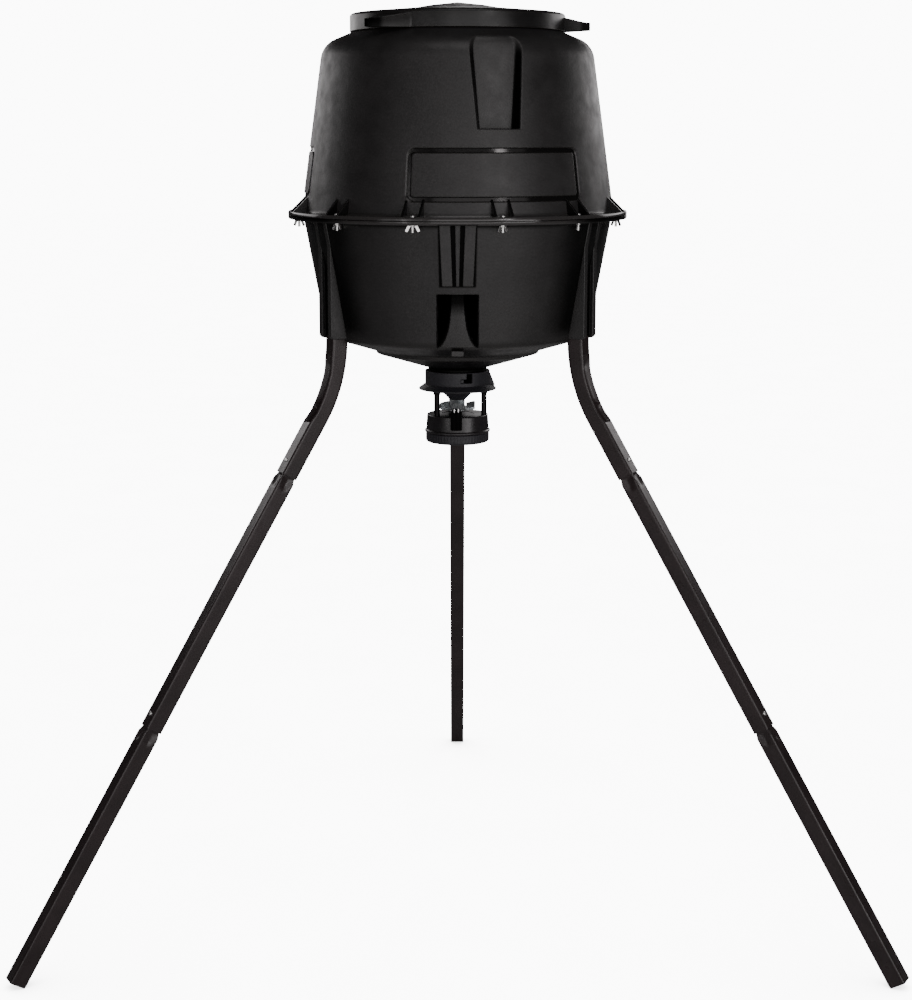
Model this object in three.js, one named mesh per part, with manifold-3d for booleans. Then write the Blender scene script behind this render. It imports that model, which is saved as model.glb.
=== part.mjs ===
// Spin cast feeder: a two-part moulded hopper on three sectional legs, with a battery-powered
// spinner head under its outlet. Millimetres, +Z up, standing on z = 0, with its front facing -Y.
import * as THREE from 'three';
import { mergeVertices } from 'three/addons/utils/BufferGeometryUtils.js';
import Module from 'manifold-3d';

const wasm = await Module();
wasm.setup();

// ---- Driving dimensions ----
const gap = 0.3;                    // between pieces that touch
const sides = 36;                   // facets round the hopper
const smallSides = 24;              // facets round the spinner head
const pinSides = 8;                 // facets round a button or a post
const boltSides = 6;

const wall = 3;                     // hopper wall
const flangeRadius = 305;
const flangeThickness = 6.5;
const flangeSplit = 1290.5;         // height where the two flanges meet
const upperBaseRadius = 280.4;      // walls at the flange
const lowerBaseRadius = 277;
const floorRadius = 238.5;          // lower wall's foot, where the sloping floor starts
const floorHeight = 1073.5;
const stepRadius = 149;             // small step in the sloping floor
const stepHeight = 1046.5;
const stepDrop = 5;
const neckRadius = 53;              // outlet neck, outside
const neckBottom = 996.5;
const neckShoulder = 1013;          // where the sloping floor meets the neck
const mouthRadius = 178;            // fill mouth, outside
const mouthBase = 1612.5;           // where the shoulder meets the mouth
const mouthTop = 1630;
const lidRadius = 191;
const lidBottom = 1609.2;
const apexHeight = 1661;

const boltCount = 12;
const boltCircle = 290;
const boltRadius = 2.8;
const boltHole = 3.4;
const firstBolt = 15;               // degrees from the front

const legSpacing = 120;
const tube = 30;                    // square leg tube, outside
const tubeWall = 1.8;
const legRadius = 246;              // upright stretch of a leg, from the hopper axis
const legLean = 32.2;               // degrees from upright
const footRadius = 878.1;           // where a leg's centre line meets the ground
const bendRadius = 260;
const legTop = 1238;
const upperJoint = 841.5;           // heights where the sections meet
const lowerJoint = 418.5;
const swage = 25.6;                 // narrowed end that slides into the section above
const swageLength = 58;
const taperLength = 36;
const buttonRadius = 3.8;
const buttonFromJoint = 24;
const columnWidth = 48;
const columnFace = 269;
const columnTop = 1246;
const columnBottom = 1079;

const lockRingRadius = 59.4;
const plateRadius = 70.9;
const spoutBottom = 952.5;
const postCircle = 50.8;
const postAngles = [-47.6, 72.4, 192.4];
const housingTop = 926.5;
const housingBottom = 893;
const housingRadius = 56;
const capBottom = 875;
const spinnerRadius = 33;
const spinnerHeight = 935.5;
const vaneTop = 948;
const vaneSkew = 25;               // degrees from square to the spinner's radius
const shaftRadius = 2.2;

// ---- Places worked out from them ----
const lean = THREE.MathUtils.degToRad(legLean);
const legSlope = Math.tan(lean);
const legCentre = (height) => footRadius - legSlope * height;
const footEnd = 6.5;                // height of a leg's centre line where its end is cut
const footEdge = legCentre(footEnd) + (tube / 2) * Math.cos(lean);
const frontEdge = footEdge * Math.cos(Math.PI / 3) + (tube / 2) * Math.sin(Math.PI / 3);
const hopperY = (frontEdge - footEdge) / 2;

// ---- Shape helpers ----
const radians = THREE.MathUtils.degToRad;

// A closed geometry as a solid that can be joined and cut.
function solid(geometry) {
  const bare = geometry.clone();
  bare.deleteAttribute('normal');
  bare.deleteAttribute('uv');
  const merged = mergeVertices(bare, 1e-3);
  const corners = merged.index.array;
  const triangles = [];
  for (let i = 0; i < corners.length; i += 3) {
    const [a, b, c] = corners.slice(i, i + 3);
    if (a !== b && b !== c && c !== a) triangles.push(a, b, c);
  }
  const vertProperties = merged.getAttribute('position').array;
  const triVerts = new Uint32Array(triangles);
  return new wasm.Manifold(new wasm.Mesh({ numProp: 3, vertProperties, triVerts }));
}

const join = (first, ...others) => others.reduce((whole, piece) => whole.add(piece), first);
const cut = (first, ...tools) => tools.reduce((whole, tool) => whole.subtract(tool), first);

// Corners [x, y] or [x, y, radius] as plain points, with an arc at each corner that has a radius.
function rounded(corners, steps = 3) {
  return corners.flatMap(([x, y, radius], i) => {
    const corner = new THREE.Vector2(x, y);
    if (!radius) return [corner];
    const last = corners.at(i - 1);
    const next = corners[(i + 1) % corners.length];
    const back = new THREE.Vector2(last[0] - x, last[1] - y).normalize();
    const on = new THREE.Vector2(next[0] - x, next[1] - y).normalize();
    const half = back.angleTo(on) / 2;
    const turn = Math.sign(on.cross(back));
    const toCentre = back.clone().add(on).normalize().multiplyScalar(radius / Math.sin(half));
    const centre = corner.clone().add(toCentre);
    const start = corner.clone().addScaledVector(back, radius / Math.tan(half)).sub(centre).angle();
    return Array.from({ length: steps + 1 }, (_, k) => {
      const angle = start + turn * (Math.PI - 2 * half) * (k / steps);
      return new THREE.Vector2(Math.cos(angle), Math.sin(angle)).multiplyScalar(radius).add(centre);
    });
  });
}

// A profile of [radius, height] corners, listed anticlockwise, turned about the Z axis.
function turned(corners, segments = sides) {
  const profile = rounded(corners);
  const closed = corners[0][0] > 0;
  if (closed) profile.push(profile[0].clone());
  return solid(new THREE.LatheGeometry(profile, segments).rotateX(Math.PI / 2));
}

// An outline in plan, from one height up to another.
function plate(corners, bottom, top) {
  const shape = new THREE.Shape(rounded(corners));
  const depth = top - bottom;
  return new THREE.ExtrudeGeometry(shape, { depth, bevelEnabled: false }).translate(0, 0, bottom);
}

// An outline of [radius, height] seen from the side, with its thickness across Y.
function sideSlab(points, thickness) {
  const shape = new THREE.Shape(points);
  const slab = new THREE.ExtrudeGeometry(shape, { depth: thickness, bevelEnabled: false });
  return slab.rotateX(Math.PI / 2).translate(0, thickness / 2, 0);
}

// An outline of [across, height] seen from outside, reaching outwards along X from a radius.
function frontSlab(corners, radius, depth) {
  const slab = new THREE.ExtrudeGeometry(
    new THREE.Shape(rounded(corners)), { depth, bevelEnabled: false });
  const acrossUpOut = new THREE.Matrix4().makeBasis(
    new THREE.Vector3(0, 1, 0), new THREE.Vector3(0, 0, 1), new THREE.Vector3(1, 0, 0));
  return slab.applyMatrix4(acrossUpOut).translate(radius, 0, 0);
}

function rod(radius, bottom, top, segments = pinSides) {
  const cylinder = new THREE.CylinderGeometry(radius, radius, top - bottom, segments);
  return cylinder.rotateX(Math.PI / 2).translate(0, 0, (top + bottom) / 2);
}

function box(x0, x1, y0, y1, z0, z1) {
  const block = new THREE.BoxGeometry(x1 - x0, y1 - y0, z1 - z0);
  return block.translate((x0 + x1) / 2, (y0 + y1) / 2, (z0 + z1) / 2);
}

// Copies of a geometry drawn along +X, turned to face each angle from the front.
const facing = (degrees) => radians(degrees - 90);
const around = (geometry, angles) => angles.map((a) => solid(geometry.clone().rotateZ(facing(a))));

const boltAngles = Array.from({ length: boltCount }, (_, i) => firstBolt + (i * 360) / boltCount);
const legs = { front_left: -legSpacing / 2, front_right: legSpacing / 2, back: 180 };
const legAngles = Object.values(legs);

// ---- Materials ----
const finish = (color, roughness, metalness = 0) =>
  new THREE.MeshStandardMaterial({ color, roughness, metalness, flatShading: true });
const materials = {
  hopper: finish(0x161514, 0.55),
  lid: finish(0x111111, 0.35),
  steel: finish(0x15120f, 0.4, 0.3),
  zinc: finish(0xc9c9c4, 0.3, 1),
  galvanised: finish(0xb4b6b5, 0.4, 1),
  head: finish(0x141312, 0.45),
  rubber: finish(0x1c1c1c, 0.9),
  board: finish(0x1d4a2a, 0.5),
  screen: finish(0x7c8a74, 0.2),
  battery: finish(0x2b2b2e, 0.4, 0.2),
  panel: finish(0x2a2a2a, 0.6),
  key: finish(0x6d6d6b, 0.6),
};

const group = new THREE.Group();
const hopper = new THREE.Group();
hopper.position.y = hopperY;
group.add(hopper);

// Adds one piece, drawn about the hopper axis, turned to an angle from the front if one is given.
function add(name, body, material, degrees) {
  const mesh = body.getMesh();
  const geometry = new THREE.BufferGeometry();
  geometry.setAttribute('position', new THREE.BufferAttribute(mesh.vertProperties, 3));
  geometry.setIndex(new THREE.BufferAttribute(mesh.triVerts, 1));
  geometry.computeVertexNormals();
  const node = new THREE.Mesh(geometry, material);
  node.name = name;
  if (degrees !== undefined) node.rotation.z = facing(degrees);
  hopper.add(node);
  return node;
}

// ---- Hopper ----
// A recess in the moulded wall: wider at its top, with a floor that leans out downwards.
// The same recess grown by the wall's thickness shapes the inside.
function recess({ top, bottom, topWidth, bottomWidth, floor, tilt }, grow) {
  const low = bottom - grow;
  const outline = [
    [-bottomWidth / 2 - grow, low],
    [bottomWidth / 2 + grow, low],
    [topWidth / 2 + grow, top + grow],
    [-topWidth / 2 - grow, top + grow],
  ];
  const slab = frontSlab(outline, 0, 80);
  slab.translate(0, 0, -bottom).rotateY(radians(tilt)).translate(floor - grow, 0, bottom);
  return slab;
}

const boltHoles = (bottom, top) =>
  around(rod(boltHole, bottom, top, boltSides).translate(boltCircle, 0, 0), boltAngles);

function upperHopper() {
  const bottom = flangeSplit + gap;
  const flangeTop = flangeSplit + gap + flangeThickness;
  const shoulder = { radius: 239.8, height: 1586.5, round: 41 };
  const outside = turned([
    [0, bottom],
    [flangeRadius, bottom],
    [flangeRadius, flangeTop],
    [upperBaseRadius, flangeTop],
    [shoulder.radius, shoulder.height, shoulder.round],
    [mouthRadius, mouthBase],
    [mouthRadius, mouthTop],
    [0, mouthTop],
  ]);
  const inside = turned([
    [0, bottom - 1],
    [upperBaseRadius - wall, bottom - 1],
    [shoulder.radius - wall, shoulder.height - wall, shoulder.round - wall],
    [mouthRadius - wall, mouthBase - wall],
    [mouthRadius - wall, mouthTop + 1],
    [0, mouthTop + 1],
  ]);
  const scoop = {
    top: 1660, bottom: 1440.5, topWidth: 102, bottomWidth: 75, floor: 238, tilt: -3.5,
  };
  const scoopAngles = [15.5, 135.5, -104.5];
  const shell = cut(
    cut(outside, ...around(recess(scoop, 0), scoopAngles)),
    cut(inside, ...around(recess(scoop, wall), scoopAngles)));
  const gussetHeight = 28;
  const gussetBack = 272;
  const gussetReach = 303;
  const gusset = [
    new THREE.Vector2(gussetBack, flangeTop - 1),
    new THREE.Vector2(gussetReach, flangeTop - 1),
    new THREE.Vector2(gussetReach, flangeTop + 1),
    new THREE.Vector2(gussetBack, flangeTop + gussetHeight),
  ];
  const gussetThickness = 3;
  const gussetOffset = 13.5;
  const pair = [-gussetOffset, gussetOffset].flatMap((y) =>
    around(sideSlab(gusset, gussetThickness).translate(0, y, 0), boltAngles));
  return cut(join(shell, ...pair), ...boltHoles(bottom - 1, flangeTop + 1));
}

function lowerHopper() {
  const top = flangeSplit;
  const flangeBottom = flangeSplit - flangeThickness;
  const outside = turned([
    [0, neckBottom],
    [neckRadius, neckBottom],
    [neckRadius, neckShoulder],
    [stepRadius, stepHeight - stepDrop],
    [stepRadius, stepHeight],
    [floorRadius, floorHeight, 15],
    [lowerBaseRadius, flangeBottom],
    [flangeRadius, flangeBottom],
    [flangeRadius, top],
    [0, top],
  ]);
  const inside = turned([
    [0, neckBottom - 1],
    [neckRadius - wall, neckBottom - 1],
    [neckRadius - wall, neckShoulder + wall],
    [stepRadius - wall, stepHeight - stepDrop + wall],
    [stepRadius - wall, stepHeight + wall],
    [floorRadius - wall, floorHeight + wall, 12],
    [lowerBaseRadius - wall + 1, top + 1],
    [0, top + 1],
  ]);
  // A deep hand hold in the wall, with three tapering ribs above it up to the flange.
  const handHold = {
    top: 1166, bottom: 1071, topWidth: 68, bottomWidth: 70, floor: 232, tilt: -8,
  };
  const handHoldAngles = [0, legSpacing, -legSpacing];
  const holds = (grow) => around(recess(handHold, grow), handHoldAngles);
  const shell = cut(cut(outside, ...holds(0)), cut(inside, ...holds(wall)));
  const ribFoot = 1181;
  const ribSide = [
    new THREE.Vector2(256, ribFoot),
    new THREE.Vector2(268.5, ribFoot),
    new THREE.Vector2(280, flangeBottom + 1),
    new THREE.Vector2(262, flangeBottom + 1),
  ];
  const ribEdges = [[[-31.2, -12.2], [-26.4, -8.3]], [[-4.7, 4.7], [-2.8, 2.8]],
    [[12.2, 31.2], [8.3, 26.4]]];
  const ribSides = around(sideSlab(ribSide, 80), handHoldAngles);
  const ribs = ribEdges.flatMap(([[topLeft, topRight], [footLeft, footRight]]) => {
    const front = frontSlab([
      [footLeft, ribFoot], [footRight, ribFoot],
      [topRight, flangeBottom + 1], [topLeft, flangeBottom + 1],
    ], 240, 60);
    return around(front, handHoldAngles).map((rib, i) => rib.intersect(ribSides[i]));
  });

  const half = columnWidth / 2;
  const socket = tube / 2 + gap;
  const columnBack = legRadius - socket - wall;
  const chamfer = 5;
  const columnSide = [
    new THREE.Vector2(columnBack, columnBottom),
    new THREE.Vector2(columnFace - chamfer, columnBottom),
    new THREE.Vector2(columnFace, columnBottom + chamfer),
    new THREE.Vector2(columnFace, columnTop),
    new THREE.Vector2(columnBack, columnTop),
  ];
  const columns = around(sideSlab(columnSide, columnWidth), legAngles);
  const sockets = around(
    box(legRadius - socket, legRadius + socket, -socket, socket, 1000, legTop + gap), legAngles);
  const grooveDepth = 3;
  const grooveWidth = 23;
  const grooves = around(
    box(columnFace - grooveDepth, columnFace + 4, -grooveWidth / 2, grooveWidth / 2,
      columnBottom + chamfer + 4, 1240), legAngles);
  const sideSteps = [-half, half].flatMap((y) =>
    around(box(columnBack - 1, 245, y - 5, y + 5, 1000, columnBottom + 1), legAngles));
  const lugs = around(box(222, 236.5, -11, 11, 1060, 1070), handHoldAngles);
  return cut(join(shell, ...columns, ...lugs, ...ribs), ...sockets, ...grooves, ...sideSteps,
    ...boltHoles(flangeBottom - 1, top + 1));
}

add('upper_hopper', upperHopper(), materials.hopper);
add('lower_hopper', lowerHopper(), materials.hopper);

// ---- Lid ----
function lid() {
  const shell = turned([
    [0, 1657.5],
    [50, 1652],
    [82, 1646.5],
    [140, 1641],
    [178, 1634.8],
    [186, 1634.6],
    [188, 1628],
    [188, lidBottom],
    [lidRadius, lidBottom],
    [lidRadius, 1638.5, 9],
    [140, 1644],
    [82, 1649.5],
    [51, 1655],
    [0, apexHeight],
  ]);
  // Each grip: a finger face at one end, and a ramp back into the rim.
  const root = lidRadius - 14;
  const tip = lidRadius + 45;
  const gripPlan = [
    [root, -14],
    [lidRadius + 6, -11, 6],
    [lidRadius + 31, -13, 10],
    [tip, -8, 2],
    [tip, -2, 3],
    [lidRadius - 8, 53],
    [root, 53],
  ];
  const gripTop = 1624;
  const grips = around(plate(gripPlan, lidBottom + 0.5, gripTop), [-39, 81, 201]);
  const core = solid(rod(lidRadius - 1.5, 1600, 1640, sides));
  return join(shell, ...grips.map((grip) => cut(grip, core)));
}

function lidSeal() {
  const inner = mouthRadius - wall - 2.5;
  const outer = mouthRadius + 1.5;
  const thickness = 3.7;
  return turned([
    [inner, mouthTop + gap],
    [outer, mouthTop + gap],
    [outer, mouthTop + gap + thickness],
    [inner, mouthTop + gap + thickness],
  ]);
}

add('lid', lid(), materials.lid);
add('lid_seal', lidSeal(), materials.rubber);

// ---- Flange bolts and wing nuts ----
const nutTop = flangeSplit - flangeThickness - gap;
const headBottom = flangeSplit + flangeThickness + 2 * gap;

function flangeBolt() {
  return turned([
    [0, nutTop - 15],
    [boltRadius, nutTop - 15],
    [boltRadius, headBottom],
    [6.5, headBottom],
    [5, headBottom + 3],
    [0, headBottom + 3.6],
  ], boltSides);
}

function wingNut() {
  const hub = turned([
    [boltHole, nutTop - 8],
    [5, nutTop - 8],
    [6, nutTop],
    [boltHole, nutTop],
  ], boltSides);
  const wing = [
    new THREE.Vector2(4.2, nutTop - 1),
    new THREE.Vector2(4.2, nutTop - 6.5),
    new THREE.Vector2(9, nutTop - 11),
    new THREE.Vector2(11.8, nutTop - 9),
  ];
  const wingThickness = 2.4;
  const wings = [0, 180].map((a) => solid(sideSlab(wing, wingThickness).rotateZ(radians(a))));
  return join(hub, ...wings);
}

const wingTwists = [20, 75, 130, 40, 160, 95, 10, 110, 60, 145, 85, 35];
const boltShape = flangeBolt();
const nutShape = wingNut();
boltAngles.forEach((angle, i) => {
  const x = boltCircle * Math.sin(radians(angle));
  const y = -boltCircle * Math.cos(radians(angle));
  add(`flange_bolt_${i + 1}`, boltShape, materials.zinc).position.set(x, y, 0);
  const nut = add(`wing_nut_${i + 1}`, nutShape, materials.zinc);
  nut.position.set(x, y, 0);
  nut.rotation.z = radians(wingTwists[i]);
});

// ---- Legs ----
// The leg's line in its own upright plane: straight down, round the bend, then outwards.
const bendCorner = (footRadius - legRadius) / legSlope;
const bendReach = bendRadius * Math.tan(lean / 2);
const outward = new THREE.Vector2(Math.sin(lean), -Math.cos(lean));
const legNormal = new THREE.Vector2(Math.cos(lean), Math.sin(lean));

// The outline of the leg's side, a given distance either side of its line.
function upperLegOutline(offset, top, end) {
  const steps = 7;
  const centre = new THREE.Vector2(legRadius + bendRadius, bendCorner + bendReach);
  const arc = (radius) => Array.from({ length: steps + 1 }, (_, k) => {
    const angle = Math.PI + (lean * k) / steps;
    return new THREE.Vector2(Math.cos(angle), Math.sin(angle)).multiplyScalar(radius).add(centre);
  });
  const side = (d) => {
    const last = new THREE.Vector2(legCentre(end), end).addScaledVector(legNormal, -d);
    return [new THREE.Vector2(legRadius - d, top), ...arc(bendRadius + d), last];
  };
  return [...side(offset), ...side(-offset).reverse()];
}

// The crease that bending leaves pressed into the outward face.
function crease(grow) {
  const middle = new THREE.Vector2(legCentre(970) + 2, 1000);
  const ball = new THREE.SphereGeometry(1, 10, 6).scale(12 + grow, 10 + grow, 62 + grow);
  return ball.rotateY(-lean * 0.55).translate(middle.x, 0, middle.y);
}

// A straight section runs from its foot end up, with its top narrowed to enter the one above.
function straightSection(length) {
  const corner = Math.SQRT2 / 2;
  const outside = tube * corner;
  const narrow = swage * corner;
  const thick = 2 * tubeWall * corner;
  const profile = [
    [outside - thick, 0],
    [outside, 0],
    [outside, length - taperLength],
    [narrow, length],
    [narrow, length + swageLength],
    [narrow - thick, length + swageLength],
    [narrow - thick, length],
    [outside - thick, length - taperLength],
  ];
  const points = profile.map(([r, z]) => new THREE.Vector2(r, z));
  points.push(points[0].clone());
  return new THREE.LatheGeometry(points, 4).rotateX(Math.PI / 2).rotateZ(Math.PI / 4);
}

// Stands a section on the leg's sloping line with its lower end at a height.
const alongLeg = (geometry, height) =>
  geometry.rotateY(-lean).translate(legCentre(height), 0, height);

// A hole or pin through the outward face, a distance up the leg's line from a height.
function acrossLeg(radius, height, up, from, to) {
  const pin = rod(radius, from, to).rotateY(Math.PI / 2).translate(0, 0, up);
  return solid(alongLeg(pin, height));
}

const jointGap = gap / Math.cos(lean);
const sectionLength = (low, high) => (high - low) / Math.cos(lean) - jointGap;
const buttonHole = buttonRadius + gap;
const holeReach = [8, 20];

function upperLeg() {
  const outline = (offset, extra) => upperLegOutline(offset, legTop + extra, upperJoint - extra);
  const outside = cut(solid(sideSlab(outline(tube / 2, 0), tube)), solid(crease(0)));
  const bore = tube - 2 * tubeWall;
  const inside = cut(solid(sideSlab(outline(bore / 2, 4), bore)), solid(crease(tubeWall)));
  const hole = acrossLeg(buttonHole, upperJoint, buttonFromJoint, ...holeReach);
  return cut(outside, inside, hole);
}

function middleLeg() {
  const length = sectionLength(lowerJoint, upperJoint);
  const tubeBody = solid(alongLeg(straightSection(length), lowerJoint));
  const topHole = acrossLeg(buttonHole, upperJoint, buttonFromJoint, ...holeReach);
  const lowHole = acrossLeg(buttonHole, lowerJoint, buttonFromJoint, ...holeReach);
  return cut(tubeBody, topHole, lowHole);
}

function lowerLeg() {
  const length = sectionLength(footEnd, lowerJoint);
  const tubeBody = solid(alongLeg(straightSection(length), footEnd));
  const topHole = acrossLeg(buttonHole, lowerJoint, buttonFromJoint, ...holeReach);
  const pegHole = acrossLeg(3, footEnd, 30, ...holeReach);
  const ground = solid(box(600, 1100, -100, 100, -100, 0));
  return cut(tubeBody, topHole, pegHole, ground);
}

// A snap button: a pin through both tubes, with a collar behind the inner one.
function legButton(height) {
  const headBack = swage / 2 - tubeWall - gap;
  const headThickness = 2.5;
  const proud = tube / 2 + 2.2;
  const pin = acrossLeg(buttonRadius, height, buttonFromJoint, headBack - 1, proud);
  const collar = acrossLeg(
    buttonRadius + 1.6, height, buttonFromJoint, headBack - headThickness, headBack);
  return join(pin, collar);
}

const legShapes = {
  upper_leg: upperLeg(),
  middle_leg: middleLeg(),
  lower_leg: lowerLeg(),
};
const buttonShapes = {
  upper_leg_button: legButton(upperJoint),
  lower_leg_button: legButton(lowerJoint),
};
for (const [side, angle] of Object.entries(legs)) {
  for (const [name, shape] of Object.entries(legShapes)) {
    add(`${name}_${side}`, shape, materials.steel, angle);
  }
  for (const [name, shape] of Object.entries(buttonShapes)) {
    add(`${name}_${side}`, shape, materials.zinc, angle);
  }
}

// ---- Quick-lock ring on the outlet neck ----
const lockBottom = 983;
const lockTop = 1007.5;
const collarTop = neckBottom - gap;
const slotBottom = 989.5;
const slotStart = 5.5;
const slotEnd = 26.9;
const slotTurns = [0, 120, 240];
const neckRoom = neckRadius + 0.8;
const collarRadius = 55.4;
const collarRoom = 56.4;

// A block seen in plan as a wedge between two angles from the front.
function wedge(inner, outer, from, to, bottom, top) {
  const point = (radius, degrees) =>
    [radius * Math.cos(facing(degrees)), radius * Math.sin(facing(degrees))];
  const middle = (from + to) / 2;
  const corners = [
    point(inner, from), point(outer, from), point(outer, middle), point(outer, to), point(inner, to),
  ];
  return solid(plate(corners, bottom, top));
}

function lockRing() {
  const ring = turned([
    [collarRoom, lockBottom],
    [lockRingRadius, lockBottom],
    [lockRingRadius, lockTop],
    [neckRoom, lockTop],
    [neckRoom, neckBottom + 2.5],
    [collarRoom, neckBottom],
  ], smallSides);
  const slots = slotTurns.flatMap((turn) => [
    wedge(50, 64, turn + slotStart, turn + slotEnd, slotBottom, slotBottom + 7),
    wedge(50, 64, turn + 16.7, turn + slotEnd, slotBottom, 1005.5),
  ]);
  // A thumb rib, which hangs a little below the ring and clears the sloping plate under it.
  const rib = [
    new THREE.Vector2(57.5, 1003),
    new THREE.Vector2(57.5, lockBottom + 1),
    new THREE.Vector2(lockRingRadius + 0.5, lockBottom + 1),
    new THREE.Vector2(68.3, 977.9),
    new THREE.Vector2(68.3, 981.5),
    new THREE.Vector2(60.2, 1002),
  ];
  return cut(join(ring, ...around(sideSlab(rib, 9), [92])), ...slots);
}

add('lock_ring', lockRing(), materials.head);

// ---- Spinner head ----
function feedPlate() {
  const plateBody = turned([
    [12, spoutBottom],
    [14.3, spoutBottom],
    [34, 972.2],
    [plateRadius, 972.5],
    [plateRadius, 974.5],
    [60, 982.7],
    [collarRadius, 982.7],
    [collarRadius, collarTop],
    [50, collarTop],
    [50, 975.4],
    [33, 975.4],
    [12, 954.4],
  ], smallSides);
  const lugs = slotTurns.map((turn) =>
    wedge(54, 58.5, turn + slotStart + 0.6, turn + slotStart + 5.4, slotBottom + 0.6, slotBottom + 6));
  const postTop = 973.5;
  const bossBottom = 961.5;
  const bosses = around(rod(5.5, bossBottom, postTop).translate(postCircle, 0, 0), postAngles);
  const posts = around(
    rod(4.25, housingTop + gap, postTop).translate(postCircle, 0, 0), postAngles);
  return join(plateBody, ...bosses, ...posts, ...lugs);
}

const skin = 2.2;                   // housing wall

function housingShell() {
  return turned([
    [housingRadius + 2, housingBottom],
    [60.2, housingBottom + 2],
    [60.2, housingBottom + 4],
    [housingRadius + 1.6, housingBottom + 6],
    [housingRadius, housingTop, 2],
    [shaftRadius + 0.6, housingTop],
    [shaftRadius + 0.6, housingTop - skin],
    [housingRadius - skin, housingTop - skin],
    [housingRadius - skin, housingBottom],
  ], smallSides);
}

function housingCap() {
  return turned([
    [0, capBottom],
    [58.5, capBottom, 4],
    [58.5, housingBottom - gap],
    [55.5, housingBottom - gap],
    [55.5, capBottom + 2.5],
    [0, capBottom + 2.5],
  ], smallSides);
}

// A disc with four upright vanes, each set askew so that it throws the feed outwards.
function spinnerPlate() {
  const thickness = 1.2;
  const disc = turned([
    [shaftRadius + gap, spinnerHeight],
    [spinnerRadius, spinnerHeight],
    [spinnerRadius, spinnerHeight + thickness],
    [shaftRadius + gap, spinnerHeight + thickness],
  ], smallSides);
  const half = 14;
  const vane = box(-thickness / 2, thickness / 2, -half, half, spinnerHeight + 0.6, vaneTop);
  vane.rotateZ(radians(-vaneSkew)).translate(24, 0, 0);
  return join(disc, ...around(vane, [2, 92, 182, 272]));
}

function spinnerNut() {
  const nutHole = shaftRadius + 2 * gap;
  return turned([
    [nutHole, spinnerHeight + 1.5],
    [5.2, spinnerHeight + 1.5],
    [5.2, spinnerHeight + 6],
    [nutHole, spinnerHeight + 6],
  ], 6);
}

const motorTop = housingTop - skin - gap;
const motorBottom = motorTop - 29;
const shaftDepth = 8;

function motor() {
  return turned([
    [0, motorBottom],
    [13.85, motorBottom],
    [13.85, motorTop],
    [shaftRadius + gap, motorTop],
    [shaftRadius + gap, motorTop - shaftDepth],
    [0, motorTop - shaftDepth],
  ], 16);
}

const motorShaft = () => solid(rod(shaftRadius, motorTop - shaftDepth + gap, spinnerHeight + 9));

// Two cells, one above the other, in a holder along the housing's side.
function batteryPair(x) {
  const cellRadius = 7.2;
  const cellLength = 50.5;
  const low = motorBottom + cellRadius;
  const high = low + 2 * cellRadius + 0.4;
  const lying = rod(cellRadius, -cellLength / 2, cellLength / 2, 10).rotateX(Math.PI / 2);
  const cells = [low, high].map((z) => solid(lying.clone().translate(x, 0, z)));
  const holderEnd = cellLength / 2 - 2;
  const holder = solid(box(x - 4, x + 4, -holderEnd, holderEnd, low, high));
  return join(holder, ...cells);
}

const boardTop = motorBottom - gap;
const boardBottom = boardTop - 1.6;
const panelTop = 889;
const panelBottom = 887;
const keyAngles = [-30, 0, 30];
const keyCircle = 30;
const keyRadius = 3.6;
const keyTravel = 1;
const screenHalf = [17, 9];
const screenY = 8;

const keyPlace = (degrees) =>
  [keyCircle * Math.sin(radians(degrees)), -keyCircle * Math.cos(radians(degrees))];

const circuitBoard = () => solid(rod(50, boardBottom, boardTop, smallSides));

function timerPanel() {
  const disc = solid(rod(53, panelBottom, panelTop, smallSides));
  const [w, h] = screenHalf;
  const window = solid(box(-w, w, screenY - h, screenY + h, panelBottom - 1, panelTop + 1));
  const holes = keyAngles.map((a) => {
    const [x, y] = keyPlace(a);
    return solid(rod(keyRadius + gap, panelBottom - 1, panelTop + 1).translate(x, y, 0));
  });
  return cut(disc, window, ...holes);
}

function display() {
  const [w, h] = screenHalf.map((size) => size - gap);
  return solid(box(-w, w, screenY - h, screenY + h, panelBottom + 0.4, boardBottom - gap));
}

function setButton(degrees) {
  const [x, y] = keyPlace(degrees);
  return solid(rod(keyRadius, panelBottom - 1.6, boardBottom - gap - keyTravel).translate(x, y, 0));
}

// The block on the housing's front with two posts that take a charger's clips.
function terminalBlock() {
  const face = housingRadius + 1.5;
  const bottom = 903;
  const top = 939;
  const half = 8;
  const outline = [[-half, bottom], [half, bottom], [half, top, 2], [-half, top, 2]];
  const body = frontSlab(outline, face, 7.5);
  const posts = [-3.7, 3.7].map((y) => solid(rod(1.5, top - 1, top + 5).translate(face + 4, y, 0)));
  return join(solid(body), ...posts);
}

add('feed_plate', feedPlate(), materials.head);
add('housing_shell', housingShell(), materials.head);
add('housing_cap', housingCap(), materials.head);
add('spinner_plate', spinnerPlate(), materials.galvanised);
add('spinner_nut', spinnerNut(), materials.zinc);
add('motor', motor(), materials.galvanised);
add('motor_shaft', motorShaft(), materials.zinc);
add('battery_pair_left', batteryPair(-24), materials.battery);
add('battery_pair_right', batteryPair(24), materials.battery);
add('circuit_board', circuitBoard(), materials.board);
add('timer_panel', timerPanel(), materials.panel);
add('display', display(), materials.screen);
keyAngles.forEach((angle, i) => add(`set_button_${i + 1}`, setButton(angle), materials.key));
add('terminal_block', terminalBlock(), materials.head, -2);

export default group;
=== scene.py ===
import math

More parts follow.
